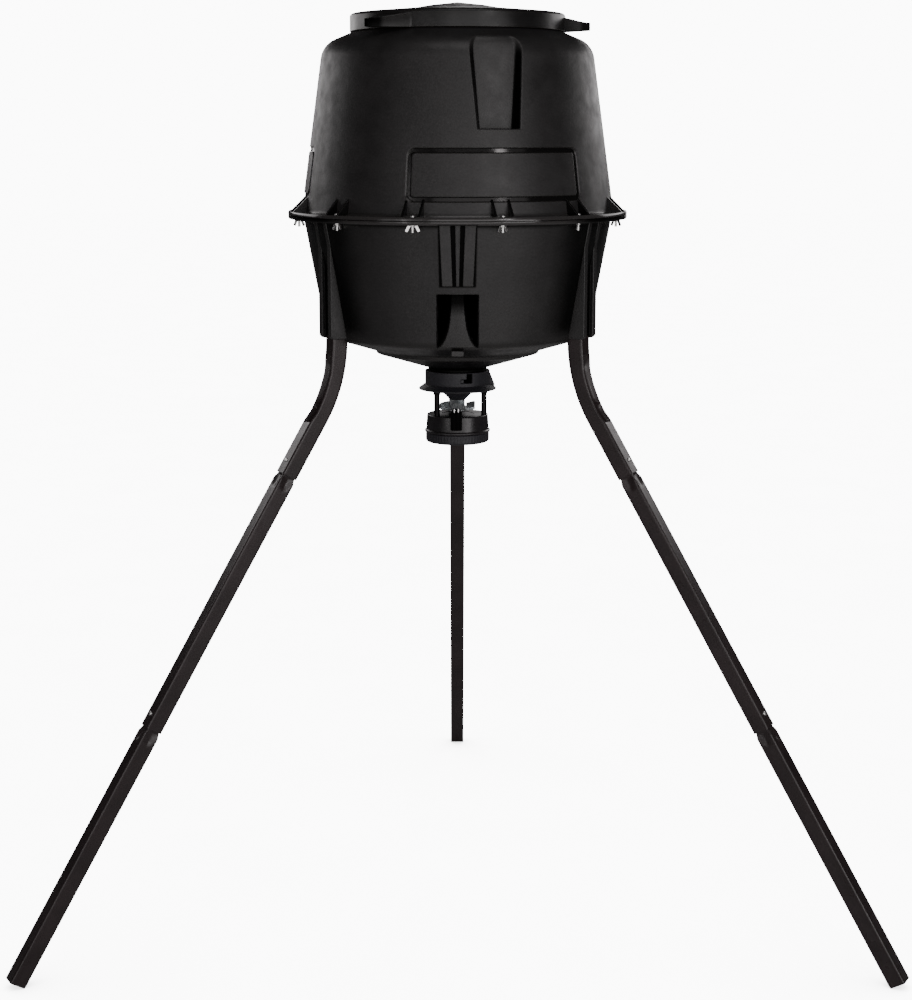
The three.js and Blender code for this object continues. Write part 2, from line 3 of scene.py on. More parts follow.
import bmesh
import bpy
import numpy as np
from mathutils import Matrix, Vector

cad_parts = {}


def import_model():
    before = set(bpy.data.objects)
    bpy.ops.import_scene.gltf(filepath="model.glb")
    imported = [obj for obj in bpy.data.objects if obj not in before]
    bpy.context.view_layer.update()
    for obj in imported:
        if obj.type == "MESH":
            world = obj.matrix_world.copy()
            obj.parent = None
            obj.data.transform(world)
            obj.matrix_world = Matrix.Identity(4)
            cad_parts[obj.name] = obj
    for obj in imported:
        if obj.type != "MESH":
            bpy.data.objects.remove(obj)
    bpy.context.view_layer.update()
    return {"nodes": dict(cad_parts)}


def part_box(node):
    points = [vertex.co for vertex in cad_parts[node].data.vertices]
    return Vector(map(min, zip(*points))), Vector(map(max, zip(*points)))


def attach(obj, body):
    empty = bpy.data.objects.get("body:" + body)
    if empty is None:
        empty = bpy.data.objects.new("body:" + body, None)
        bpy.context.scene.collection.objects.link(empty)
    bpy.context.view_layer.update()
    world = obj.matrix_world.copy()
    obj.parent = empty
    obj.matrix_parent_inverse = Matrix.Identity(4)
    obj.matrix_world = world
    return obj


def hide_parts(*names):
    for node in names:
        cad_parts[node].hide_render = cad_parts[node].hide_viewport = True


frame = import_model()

# Looks of the spin cast feeder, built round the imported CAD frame.
# Shapes below are drawn in millimetres about the hopper axis, with +Z up and the front facing -Y,
# and turned into metres in the frame by piece(). Angles are degrees from the front towards +X.

MM = 0.001


# ---- Places read from the frame ----
def span(node):
    """A CAD node's lowest and highest corner, in millimetres in the frame."""
    low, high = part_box(node)
    return np.array(low) / MM, np.array(high) / MM


def top_of(node):
    return span(node)[1][2]


def bottom_of(node):
    return span(node)[0][2]


AXIS = sum(span("motor_shaft")) / 2 * (1, 1, 0)
FLANGE_RADIUS = np.ptp(span("upper_hopper"), axis=0)[0] / 2
SPLIT = top_of("lower_hopper")
MOUTH_TOP = top_of("upper_hopper")
LID_BOTTOM = bottom_of("lid")
APEX = top_of("lid")
NECK_BOTTOM = bottom_of("lower_hopper")
SPOUT_BOTTOM = 952.5
HOUSING_TOP = top_of("housing_shell")
HOUSING_BOTTOM = bottom_of("housing_shell")
FLANGE = 6.5  # thickness of each hopper's flange
GAP = 0.3  # clearance between faces that meet
WALL = 3  # thickness of the hoppers' walls
LEGS = {"front_left": -60, "front_right": 60, "back": 180}
THIRDS = (0, 120, 240)
BOLT_ANGLES = [15 + 30 * i for i in range(12)]
BOLT_CIRCLE = 290  # radius of the ring of bolts
MOUTH_RADIUS = 178
RIM_RADIUS = 191  # outside of the lid's rim


# ---- Mesh helpers ----
def direction(degrees):
    """Unit vector in plan at an angle from the front."""
    angle = math.radians(degrees)
    return np.array([math.sin(angle), -math.cos(angle), 0.0])


def rounded(corners, steps=8):
    """Corners (x, y) or (x, y, radius) as points, with an arc at each corner that has a radius."""
    points = []
    for i, corner in enumerate(corners):
        here = np.array(corner[:2], float)
        if len(corner) == 2:
            points.append(here)
            continue
        radius = corner[2]
        back = np.array(corners[i - 1][:2], float) - here
        on = np.array(corners[(i + 1) % len(corners)][:2], float) - here
        back /= np.linalg.norm(back)
        on /= np.linalg.norm(on)
        half = math.acos(np.clip(back @ on, -1, 1)) / 2
        turn = np.sign(on[0] * back[1] - on[1] * back[0])
        bisector = (back + on) / np.linalg.norm(back + on)
        centre = here + bisector * radius / math.sin(half)
        first = here + back * radius / math.tan(half) - centre
        start = math.atan2(first[1], first[0])
        for k in range(steps + 1):
            angle = start + turn * (math.pi - 2 * half) * k / steps
            points.append(centre + radius * np.array([math.cos(angle), math.sin(angle)]))
    return np.array(points)


def spaced(low, high, step, marks=(), reach=6, fine=0.8):
    """Values from low to high a step apart, and closer together near each mark."""
    values = set(np.round(np.linspace(low, high, max(2, round((high - low) / step) + 1)), 3))
    for place in marks:
        near = np.arange(place - reach, place + reach + fine / 2, fine)
        values |= set(np.round(near[(near > low) & (near < high)], 3))
    values = sorted(values)
    kept = [values[0]]
    for value in values[1:-1]:
        if value - kept[-1] > fine * 0.6 and high - value > fine * 0.6:
            kept.append(value)
    return np.array(kept + [values[-1]])


def along(points, step, marks=(), **closer):
    """Points along an open outline, a step apart and closer together near marked heights."""
    points = np.asarray(points, float)
    lengths = np.r_[0, np.cumsum(np.linalg.norm(np.diff(points, axis=0), axis=1))]
    places = [float(np.interp(height, points[:, 1], lengths)) for height in marks]
    rows = spaced(0, lengths[-1], step, places, **closer)
    return np.c_[np.interp(rows, lengths, points[:, 0]), np.interp(rows, lengths, points[:, 1])]


def grid_faces(rows, columns, closed):
    """Quads of a grid of points numbered row by row. Rows wrap round; columns do if closed."""
    row = np.arange(rows)[:, None]
    column = np.arange(columns if closed else columns - 1)[None, :]
    next_row = (row + 1) % rows
    next_column = (column + 1) % columns
    corners = [row * columns + column, next_row * columns + column,
               next_row * columns + next_column, row * columns + next_column]
    return np.stack([c.ravel() for c in corners], axis=1)


def revolve(profile, angles, closed=True, shape=None):
    """A profile of (radius, height) turned about the axis. shape may move the points."""
    profile = np.asarray(profile, float)
    degrees, radius = np.meshgrid(angles, profile[:, 0], indexing="ij")
    height = np.broadcast_to(profile[:, 1], radius.shape)
    if shape is not None:
        degrees, radius, height = shape(degrees, radius, height)
    turn = np.radians(degrees)
    points = np.stack([radius * np.sin(turn), -radius * np.cos(turn), height], axis=-1)
    return points.reshape(-1, 3), grid_faces(len(angles), len(profile), closed)


def lathe(corners, segments=96, steps=6):
    """A turned solid from corners (radius, height, rounding), closed on itself or on the axis."""
    closed = corners[0][0] > 0
    angles = np.arange(segments) * 360 / segments
    return revolve(rounded(corners, steps), angles, closed)


def lofted(rings):
    """A solid skinned over rings of matching points, with a flat cap at each end."""
    count = len(rings[0])
    last = (len(rings) - 1) * count
    faces = [list(range(count))[::-1], list(range(last, last + count))]
    for start in range(0, last, count):
        for i in range(count):
            j = (i + 1) % count
            faces.append([start + i, start + j, start + count + j, start + count + i])
    return np.concatenate(rings), faces


def prism(outline, low, high, axes):
    """An outline (u, v) drawn out from low to high. axes names where u, v and the depth go."""
    outline = np.asarray(outline, float)
    columns = [axes.index(axis) for axis in "xyz"]
    return lofted([np.c_[outline, np.full(len(outline), float(depth))][:, columns]
                   for depth in (low, high)])


def moved(shape, offset):
    points, faces = shape
    return points + offset, faces


def facing(shape, degrees):
    """A shape drawn with X outwards and Y along the rim, turned to face an angle."""
    points, faces = shape
    out = direction(degrees)
    return points @ np.array([out, (-out[1], out[0], 0), (0, 0, 1)]), faces


def off_centre(degrees, centre):
    """Degrees from a centre angle, between -180 and 180."""
    return (degrees - centre + 180) % 360 - 180


def beside(centre, degrees, radius):
    """How far sideways each place is from a centre angle, and whether it is on that side."""
    turn = np.radians(off_centre(degrees, centre))
    return np.abs(radius * np.sin(turn)), np.abs(turn) < 1


def rim_angles(centres, halves, reach, fine):
    """Angles a degree apart, and closer together at each half width either side of a centre."""
    edges = [(centre + side * half) % 360
             for centre in centres for side in (-1, 1) for half in halves]
    return spaced(0, 360, 1.0, edges, reach=reach, fine=fine)[:-1]


def ease(value, low, high):
    """0 below low, 1 above high and smooth between."""
    t = np.clip((value - low) / (high - low), 0, 1)
    return t * t * (3 - 2 * t)


# ---- Materials ----
class Nodes:
    """A short way to write a procedural material."""

    def __init__(self, name):
        self.material = bpy.data.materials.new(name)
        self.material.use_nodes = True
        self.tree = self.material.node_tree
        self.shader = self.tree.nodes["Principled BSDF"]
        self.place = self.tree.nodes.new("ShaderNodeTexCoord").outputs["Object"]

    def add(self, kind, inputs=(), **settings):
        node = self.tree.nodes.new(kind)
        for key, value in settings.items():
            setattr(node, key, value)
        for key, value in dict(inputs).items():
            if isinstance(value, bpy.types.NodeSocket):
                self.tree.links.new(value, node.inputs[key])
            else:
                node.inputs[key].default_value = value
        return node

    def noise(self, size, detail=3, roughness=0.5, stretch=None):
        """Noise with features about size millimetres across, from 0 to 1."""
        place = self.place
        if stretch is not None:
            place = self.add("ShaderNodeMapping", {"Vector": place, "Scale": stretch}).outputs[0]
        return self.add("ShaderNodeTexNoise", {
            "Vector": place, "Scale": 1 / (size * MM), "Detail": detail, "Roughness": roughness,
        }).outputs["Fac"]

    def scaled(self, value, low, high, start=0.35, end=0.65):
        """A 0 to 1 pattern spread over another range."""
        return self.add("ShaderNodeMapRange", {
            "Value": value, "From Min": start, "From Max": end, "To Min": low, "To Max": high,
        }).outputs[0]

    def blended(self, factor, first, second):
        """A pattern that gives way to a plain number as the factor goes from 0 to 1."""
        node = self.add("ShaderNodeMapRange", {"Value": factor, "To Max": second})
        self.tree.links.new(first, node.inputs["To Min"])
        return node.outputs[0]

    def mixed(self, factor, first, second):
        node = self.add("ShaderNodeMix", data_type="RGBA")
        self.tree.links.new(factor, node.inputs["Factor"])
        for end, colour in (("A", first), ("B", second)):
            socket = [i for i in node.inputs if i.name == end and i.type == "RGBA"][0]
            if isinstance(colour, bpy.types.NodeSocket):
                self.tree.links.new(colour, socket)
            else:
                socket.default_value = (*colour, 1)
        return [o for o in node.outputs if o.type == "RGBA"][0]

    def bump(self, heights):
        """Bump from pairs of pattern and height in millimetres, coarsest first."""
        normal = None
        for pattern, height in heights:
            inputs = {"Height": pattern, "Distance": height * MM, "Strength": 1.0}
            if normal is not None:
                inputs["Normal"] = normal
            normal = self.add("ShaderNodeBump", inputs).outputs[0]
        self.tree.links.new(normal, self.shader.inputs["Normal"])

    def finish(self, colour, roughness, metallic=0.0, coat=0.0, coat_roughness=0.1):
        self.tree.links.new(colour, self.shader.inputs["Base Color"])
        self.tree.links.new(roughness, self.shader.inputs["Roughness"])
        if metallic is not None:
            self.shader.inputs["Metallic"].default_value = metallic
        self.shader.inputs["Coat Weight"].default_value = coat
        self.shader.inputs["Coat Roughness"].default_value = coat_roughness
        return self.material


PAINTED_SHEEN_PALER = 1.9  # how much paler a glossy moulding is painted, a painted sheen
RUBBED_ROUGHNESS = 0.15


def moulded_plastic(name, dark, light, rough, grain, grain_height, specular=0.5):
    """Moulded plastic: a fine even grain, soft flow marks and uneven gloss.

    Where the mesh's gloss layer is 1 the plastic is glossy, without its grain, and painted paler
    as a painted sheen. Where its painted-shade layer is 1 it is painted black and sends no light
    back, as a black metal would be: painted shade.
    """
    nodes = Nodes(name)
    # smooth is the mesh layer of real gloss, which also paints a sheen into the colour
    smooth = nodes.add("ShaderNodeAttribute", attribute_name="gloss_and_painted_sheen").outputs["Fac"]
    # deep is the mesh layer of painted shade: black and without reflection
    deep = nodes.add("ShaderNodeAttribute", attribute_name="painted_shade").outputs["Fac"]
    drift = nodes.noise(90, detail=4)
    fine = nodes.noise(grain, detail=2)
    plain = nodes.mixed(nodes.scaled(drift, 0, 1), dark, light)
    # Painted sheen: the colour is painted paler where the moulding is glossy
    plain = nodes.mixed(smooth, plain, [PAINTED_SHEEN_PALER * value for value in light])
    # Painted shade: black colour, and a black metal that reflects nothing
    colour = nodes.mixed(deep, plain, (0, 0, 0))
    nodes.tree.links.new(deep, nodes.shader.inputs["Metallic"])
    cloud = nodes.noise(28, detail=5, roughness=0.6)
    grained = nodes.scaled(cloud, rough - 0.05, rough + 0.06)
    roughness = nodes.blended(smooth, grained, RUBBED_ROUGHNESS)
    nodes.bump([(drift, 0.5), (nodes.blended(smooth, fine, 0.5), grain_height)])
    nodes.shader.inputs["Specular IOR Level"].default_value = specular
    return nodes.finish(colour, roughness, metallic=None)


def powder_coat():
    """Black paint on steel: a faint brown tone, a fine powder texture and soft waves."""
    nodes = Nodes("leg_powder_coat")
    drift = nodes.noise(60, detail=4)
    fine = nodes.noise(1.1, detail=2)
    wave = nodes.noise(14, detail=2)
    dark, light = (0.021, 0.0150, 0.0155), (0.032, 0.0230, 0.0240)
    colour = nodes.mixed(nodes.scaled(drift, 0, 1), dark, light)
    roughness = nodes.scaled(nodes.noise(22, detail=5), 0.26, 0.31)
    nodes.bump([(wave, 0.008), (fine, 0.006)])
    nodes.shader.inputs["Specular IOR Level"].default_value = 0.4
    return nodes.finish(colour, roughness, coat=0.08, coat_roughness=0.2)


def plated_steel(name, dark, light, rough, spangle):
    """Bright plating: crystal patches, fine scratches and uneven gloss."""
    nodes = Nodes(name)
    patches = nodes.add("ShaderNodeTexVoronoi", {
        "Vector": nodes.place, "Scale": 1 / (spangle * MM), "Randomness": 1.0,
    }).outputs["Color"]
    grey = nodes.add("ShaderNodeRGBToBW", {"Color": patches}).outputs[0]
    scratches = nodes.noise(1.2, detail=3, stretch=(1, 1, 0.15))
    colour = nodes.mixed(nodes.scaled(grey, 0, 1, 0.1, 0.9), dark, light)
    roughness = nodes.scaled(scratches, rough - 0.08, rough + 0.10)
    nodes.bump([(scratches, 0.015)])
    return nodes.finish(colour, roughness, metallic=1.0)


# Dark and light colour, roughness, size and height of the grain in millimetres, specular level.
PLASTICS = {
    "hopper_plastic": ((0.0120, 0.0112, 0.0112), (0.018, 0.0168, 0.0168), 0.45, 2.6, 0.24),
    "lid_plastic": ((0.009, 0.0085, 0.0085), (0.014, 0.013, 0.013), 0.33, 1.2, 0.02, 0.33),
    "head_plastic": ((0.012, 0.011, 0.012), (0.020, 0.017, 0.019), 0.32, 0.9, 0.03),
    "ring_plastic": ((0.014, 0.0135, 0.0175), (0.020, 0.0190, 0.0245), 0.55, 0.9, 0.04),
    "seal_rubber": ((0.020, 0.020, 0.020), (0.034, 0.034, 0.034), 0.80, 0.8, 0.05),
    "panel_plastic": ((0.035, 0.035, 0.037), (0.050, 0.050, 0.052), 0.50, 0.6, 0.03),
    "key_plastic": ((0.20, 0.20, 0.19), (0.27, 0.27, 0.26), 0.50, 0.6, 0.02),
    "battery_wrap": ((0.03, 0.03, 0.04), (0.05, 0.05, 0.06), 0.28, 3.0, 0.01),
    "circuit_green": ((0.010, 0.075, 0.028), (0.018, 0.120, 0.045), 0.35, 2.0, 0.03),
    "display_window": ((0.24, 0.28, 0.22), (0.32, 0.36, 0.30), 0.15, 4.0, 0.005),
}

# Dark and light colour, roughness, and the size of a crystal patch in millimetres.
PLATINGS = {
    "zinc_plate": ((0.80, 0.80, 0.78), (0.94, 0.94, 0.92), 0.34, 2.5),
    "galvanised_steel": ((0.40, 0.43, 0.44), (0.62, 0.65, 0.66), 0.34, 6.0),
}

# Every finish, by its material slot. ring_plastic is another finish of head_plastic.
MATERIALS = {"leg_paint": powder_coat()}
MATERIALS |= {name: moulded_plastic(name, *look) for name, look in PLASTICS.items()}
MATERIALS |= {name: plated_steel(name, *look) for name, look in PLATINGS.items()}


# ---- Pieces ----
def piece(name, shapes, body, slot, replaces=(), bevel=0, crease=35, finish=None):
    """One piece made of closed shapes, riding on a CAD body, in its slot's finish or another."""
    build = bmesh.new()
    for points, faces in shapes:
        verts = [build.verts.new(point) for point in (points + AXIS) * MM]
        for face in faces:
            build.faces.new([verts[i] for i in face])
    bmesh.ops.remove_doubles(build, verts=build.verts, dist=2e-6)
    bmesh.ops.recalc_face_normals(build, faces=build.faces)
    mesh = bpy.data.meshes.new(name)
    build.to_mesh(mesh)
    build.free()
    mesh.shade_smooth()
    mesh.set_sharp_from_angle(angle=math.radians(crease))
    mesh.materials.append(MATERIALS[finish or slot])
    made = bpy.data.objects.new(name, mesh)
    bpy.context.scene.collection.objects.link(made)
    if bevel:
        edge = made.modifiers.new("edge", "BEVEL")
        edge.width = bevel * MM
        edge.segments = 2
        edge.limit_method = "ANGLE"
        edge.angle_limit = math.radians(30)
        edge.harden_normals = True
    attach(made, body)
    if replaces:
        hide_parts(*replaces)
    return made


def mark(marked, layer_name, amount):
    """A value from 0 to 1 at each vertex, for the materials: a number, or a function of place.

    A function takes degrees, radius and height. The gloss layer is where a moulding is glossy and
    painted paler, a painted sheen, and the painted-shade layer is painted shade, black without
    reflection.
    """
    mesh = marked.data
    places = np.empty(len(mesh.vertices) * 3)
    mesh.vertices.foreach_get("co", places)
    places = places.reshape(-1, 3) / MM - AXIS
    radius = np.hypot(places[:, 0], places[:, 1])
    degrees = np.degrees(np.arctan2(places[:, 0], -places[:, 1]))
    shares = amount(degrees, radius, places[:, 2]) if callable(amount) else amount
    shares = np.broadcast_to(shares, radius.shape)
    layer = mesh.attributes.new(layer_name, "FLOAT", "POINT")
    layer.data.foreach_set("value", shares.astype(np.float32))


# ---- Upper hopper ----
UPPER_FOOT = 280.4  # radius of the wall at the flange
SHOULDER = (239.8, 1586.5)  # radius and height where the wall turns in to the mouth
COLLAR_FOOT = 1612.5  # height where the collar of the mouth starts
SCOOP_ANGLES = (15.5, 135.5, 255.5)
SCOOP_FOOT = 1440.5
SCOOP_CORNER = 1560  # height where a scoop's top starts to round off
SCOOP_EDGE = 9.5  # degrees from a scoop's middle to its side
PANEL_LOW, PANEL_HIGH = 1321, 1410
PANEL_HALF = 34  # degrees either side of its scoop's angle
PANEL_RADIUS = 270  # the wall's radius at the panel


def scoop_half(height):
    """Half the width of a scoop, which widens upwards and rounds off at the shoulder."""
    slant = 37 + (np.maximum(height, SCOOP_FOOT) - SCOOP_FOOT) * 0.067
    corner = np.clip((height - SCOOP_CORNER) / 32, 0, 1)
    return slant - 15 * (1 - np.sqrt(1 - corner ** 2))


def lean_with_scoops(degrees, radius, height):
    """Columns of the mesh drawn sideways so that they follow the slanted sides of the scoops."""
    leaned = np.array(degrees, float)
    for centre in SCOOP_ANGLES:
        off = off_centre(degrees, centre)
        side = np.degrees(np.arcsin(scoop_half(height) / np.maximum(radius, 228)))
        share = np.interp(np.abs(off), [0, SCOOP_EDGE - 2, SCOOP_EDGE + 2, 20], [0, 1, 1, 0])
        leaned += np.sign(off) * (side - SCOOP_EDGE) * share
    return leaned


def scoop_depth(degrees, radius, height, grow):
    """How far the scooped recesses push the wall in, with a soft fillet along the top."""
    depth = np.zeros_like(radius)
    fillet = 12
    for centre in SCOOP_ANGLES:
        across, near = beside(centre, degrees, radius)
        floor = 237 - (height - SCOOP_FOOT) * 0.065 - grow
        inside = ease(scoop_half(height) - across + grow, -1.0, 7.5) * near
        above = ease(height - SCOOP_FOOT + grow, -1.0, 1.0)
        over = radius - floor
        sunk = np.where(over > fillet, over, np.maximum(over + fillet, 0) ** 2 / (4 * fillet))
        depth = np.maximum(depth, inside * above * sunk)
    return depth


def scoop_walls(degrees, radius, height):
    """1 on the steep side walls of the scoops, where shade is painted."""
    walls = np.zeros_like(radius)
    for centre in SCOOP_ANGLES:
        across, near = beside(centre, degrees, radius)
        inwards = scoop_half(height) - across
        on_wall = ease(inwards, -0.5, 0.8) * (1 - ease(inwards, 7, 12)) * near
        walls = np.maximum(walls, on_wall * ease(height, SCOOP_FOOT, SCOOP_FOOT + 2))
    return walls * (1 - ease(height, SCOOP_CORNER, SCOOP_CORNER + 22))


def panel_groove(degrees, height):
    """1 in the groove of the framed panel, which has rounded corners."""
    depth = np.zeros_like(height)
    for centre in SCOOP_ANGLES:
        across = np.abs(off_centre(degrees, centre)) - PANEL_HALF
        across *= math.radians(1) * PANEL_RADIUS
        up = np.abs(height - (PANEL_LOW + PANEL_HIGH) / 2) - (PANEL_HIGH - PANEL_LOW) / 2
        corner = 14
        edge_a, edge_b = across + corner, up + corner
        outside = np.hypot(np.maximum(edge_a, 0), np.maximum(edge_b, 0))
        distance = outside + np.minimum(np.maximum(edge_a, edge_b), 0) - corner
        groove = ease(-distance, -0.6, 1.4) * (1 - ease(-distance, 7.4, 9.4))
        depth = np.maximum(depth, groove)
    return depth


def upper_hopper():
    """The upper shell, with its flange, scoops, framed panels and open mouth, and the gussets."""
    low = SPLIT + 0.05
    flange_top = SPLIT + GAP + FLANGE
    outer = rounded([
        (FLANGE_RADIUS - 12, low), (FLANGE_RADIUS, low, 0.1), (FLANGE_RADIUS, flange_top, 1.4),
        (UPPER_FOOT, flange_top, 2.0), (*SHOULDER, 41), (MOUTH_RADIUS, COLLAR_FOOT, 3),
        (MOUTH_RADIUS, MOUTH_TOP, 1), (MOUTH_RADIUS - 1.5, MOUTH_TOP),
    ], steps=10)
    in_groove = 4.5
    details = (SCOOP_FOOT, PANEL_LOW + in_groove, PANEL_HIGH - in_groove)
    outer = along(outer, 3.2, details, reach=7, fine=1.0)
    bore = MOUTH_RADIUS - WALL
    inner = rounded([
        (bore, MOUTH_TOP, 0.8), (bore, COLLAR_FOOT - WALL, 3),
        (SHOULDER[0] - WALL, SHOULDER[1] - WALL, 38), (UPPER_FOOT - WALL, low, 1),
        (FLANGE_RADIUS - 20, low),
    ], steps=8)
    inner = along(inner[::-1], 5.0, (SCOOP_FOOT,), reach=9, fine=2.0)[::-1]
    profile = np.r_[outer, inner]
    is_inner = np.arange(len(profile))[None, :] >= len(outer)
    angles = rim_angles(SCOOP_ANGLES, (SCOOP_EDGE, PANEL_HALF - 1), reach=2.4, fine=0.3)

    def shape(degrees, radius, height):
        wall_part = (height > flange_top + 0.5) | is_inner
        grow = np.where(is_inner, WALL, 0.0)
        degrees = lean_with_scoops(degrees, radius, height)
        pressed = scoop_depth(degrees, radius, height, grow) * wall_part
        grooved = 2.2 * panel_groove(degrees, height) * (~is_inner) * wall_part
        return degrees, radius - pressed - grooved, height

    # Glossy with a painted sheen: the flange and the panel groove are painted paler
    def smooth(degrees, radius, height):
        flange = 1 - ease(height, flange_top + 0.2, flange_top + 2)
        return np.maximum(flange, panel_groove(degrees, height))

    shell = revolve(profile, angles, shape=shape)
    wall = piece("upper_hopper_shell", [shell], "stand", "hopper_plastic", ["upper_hopper"])
    mark(wall, "gloss_and_painted_sheen", smooth)
    # Painted shade on the scoops' side walls and in the panel groove
    mark(wall, "painted_shade", lambda degrees, radius, height: (
        0.85 * scoop_walls(degrees, radius, height) + 0.6 * panel_groove(degrees, height)))

    gusset = [(274, flange_top - 1), (303, flange_top - 1), (303, flange_top + 0.8),
              (274, flange_top + 29)]
    fins = [facing(prism(gusset, y - 2.1, y + 2.1, "xzy"), angle)
            for angle in BOLT_ANGLES for y in (-14.5, 14.5)]
    gussets = piece("flange_gussets", fins, "stand", "hopper_plastic", bevel=0.9)
    # Painted sheen and painted shade: the gussets are painted paler and glossy, then darkened
    mark(gussets, "gloss_and_painted_sheen", 0.6)
    mark(gussets, "painted_shade", 0.65)


# ---- Lower hopper ----
LOWER_FOOT = 238.5  # radius where the wall turns in to the cone
LEDGE_RADIUS = 149  # the ledge round the cone
HOLD_LOW, HOLD_HIGH = 1071, 1166
HOLD_HALF = 35  # half the width of a hand hold
SOCKET_LOW = 1079
RIB_FOOT = 1181


def ramp_width(up):
    """Half the width of the ramp in a hand hold, which flares out towards its foot."""
    return 13.5 + 24.5 * np.exp(-up * 4.6)


def hold_shade(degrees, radius, height):
    """How much painted shade each place gets: most on the neck, in the pockets and between the
    ribs.

    Less so on the cone, above its ledge, beside the columns, under the flange and at the lugs.
    """
    neck = 1 - ease(height, 1010, 1018)
    cone = 0.85 * (1 - ease(height, 1036, 1041))
    above_ledge = 0.6 * ease(height, 1047, 1048.5) * (1 - ease(height, 1050, 1055))
    beside_column = 1 - ease(np.abs(off_centre(degrees * 3, 180)) / 3, 8, 25)
    beside_column = 0.85 * beside_column * ease(height, 1078, 1105)
    flange_low = SPLIT - FLANGE
    under_flange = 0.75 * ease(height, flange_low - 8, flange_low - 3) * (radius < 289)
    shades = [neck, cone, above_ledge, beside_column, under_flange]
    up = np.clip((height - HOLD_LOW) / (HOLD_HIGH - HOLD_LOW), 0, 1)
    wall = LOWER_FOOT + 0.17 * (height - HOLD_LOW)
    for centre in THIRDS:
        across, near = beside(centre, degrees, radius)
        pocket = ease(across, ramp_width(up) - 1, ramp_width(up) + 3)
        pocket = np.maximum(pocket, ease(up, 0.55, 0.84)) * near * (across < 40)
        shades.append(pocket * ease(wall - radius, 4, 9) * (height > HOLD_LOW - 2))
        at_lug = (1 - ease(across, 34, 46)) * ease(height, 1049, 1056) * near
        shades.append(0.8 * at_lug * (1 - ease(height, 1067, 1071)))
        between_ribs = near * (height > RIB_FOOT - 2.5) * (height < flange_low)
        edge = 30.5 + 2.2 * (height - RIB_FOOT) / (SPLIT - RIB_FOOT)
        shades.append(between_ribs * (1 - ease(across, edge, edge + 1.5)))
    return 0.9 * np.max(shades, axis=0)


def hold_depth(degrees, radius, height, grow):
    """The hand holds: deep at their sides, with a flared ramp coming out to the foot."""
    depth = np.zeros_like(radius)
    for centre in THIRDS:
        across, near = beside(centre, degrees, radius)
        up = np.clip((height - HOLD_LOW) / (HOLD_HIGH - HOLD_LOW), 0, 1)
        opening = ease(HOLD_HALF - across + grow, -1.0, 2.2) * near
        opening *= ease(height - HOLD_LOW + grow, -1.0, 1.5)
        opening *= ease(HOLD_HIGH + grow - height, -1.0, 2.0)
        ramp_floor = LOWER_FOOT - 20 * up ** 0.8 - grow
        ramp_half = ramp_width(up)
        off_ramp = np.clip((across - ramp_half) / (37 - ramp_half), 0, 1)
        side_floor = 214 - 18 * (1 - np.abs(2 * off_ramp - 1)) - grow
        on_ramp = 1 - ease(across, ramp_half - 2, ramp_half + 3)
        floor = side_floor + np.maximum(ramp_floor - side_floor, 0) * on_ramp
        depth = np.maximum(depth, opening * np.maximum(radius - floor, 0))
    return depth


def lower_hopper():
    """The lower shell, from the neck and the ledged cone up to its flange, and what is on it."""
    flange_low = SPLIT - FLANGE
    outer = rounded([
        (52, NECK_BOTTOM), (53, NECK_BOTTOM, 0.8), (53, 1013, 4), (LEDGE_RADIUS, 1041.5, 2),
        (LEDGE_RADIUS, 1046.5, 3), (LOWER_FOOT, 1073.5, 15), (277, flange_low, 3),
        (FLANGE_RADIUS, flange_low, 1.2), (FLANGE_RADIUS, SPLIT, 0.1),
        (FLANGE_RADIUS - 12, SPLIT),
    ], steps=10)
    outer = along(outer, 3.2, (HOLD_LOW, HOLD_HIGH), reach=8, fine=1.0)
    inner = rounded([
        (FLANGE_RADIUS - 20, SPLIT), (275, SPLIT, 1), (LOWER_FOOT - WALL, 1076.5, 12),
        (LEDGE_RADIUS - WALL, 1049.5, 3), (LEDGE_RADIUS - WALL, 1044.5, 2), (50, 1016, 4),
        (50, NECK_BOTTOM, 0.8), (51.5, NECK_BOTTOM),
    ], steps=8)
    inner = along(inner[::-1], 5.0, (HOLD_LOW, HOLD_HIGH), reach=9, fine=2.0)[::-1]
    profile = np.r_[outer, inner]
    is_inner = np.arange(len(profile))[None, :] >= len(outer)
    angles = rim_angles(THIRDS, (8.3, 4), reach=2.6, fine=0.25)

    def shape(degrees, radius, height):
        grow = np.where(is_inner, WALL, 0.0)
        in_wall = (height > 1058) & (height < flange_low - 2)
        return degrees, radius - hold_depth(degrees, radius, height, grow) * in_wall, height

    shell = revolve(profile, angles, shape=shape)
    wall = piece("lower_hopper_shell", [shell], "stand", "hopper_plastic", ["lower_hopper"])
    # Painted sheen on the flange, and painted shade over the wall from hold_shade
    mark(wall, "gloss_and_painted_sheen", lambda degrees, radius, height: ease(height, flange_low - 2, flange_low))
    mark(wall, "painted_shade", hold_shade)
    hold_ribs(flange_low)
    leg_sockets(flange_low)


def hold_ribs(flange_low):
    """Three tapering ribs above each hand hold, and the small lug below it."""
    top = flange_low + 0.5
    radii = ((252, 264), (268.5, 279.5))  # of a rib's back and its face, at foot and top
    sides = (((-26.4, -8.3), (-31.2, -12.2)), ((-2.8, 2.8), (-4.7, 4.7)),
             ((8.3, 26.4), (12.2, 31.2)))
    shapes = []
    for (left, right), (top_left, top_right) in sides:
        rib = lofted([[(at_foot, left, RIB_FOOT), (at_foot, right, RIB_FOOT),
                       (at_top, top_right, top), (at_top, top_left, top)]
                      for at_foot, at_top in radii])
        shapes += [facing(rib, angle) for angle in THIRDS]
    piece("hand_hold_ribs", shapes, "stand", "hopper_plastic", bevel=1.4)
    lug = rounded([(-11, 1059, 3), (11, 1059, 3), (11, 1069, 3), (-11, 1069, 3)])
    lugs = [facing(prism(lug, 222, 237.5, "yzx"), angle) for angle in THIRDS]
    piece("stacking_lugs", lugs, "stand", "hopper_plastic", bevel=1.5)


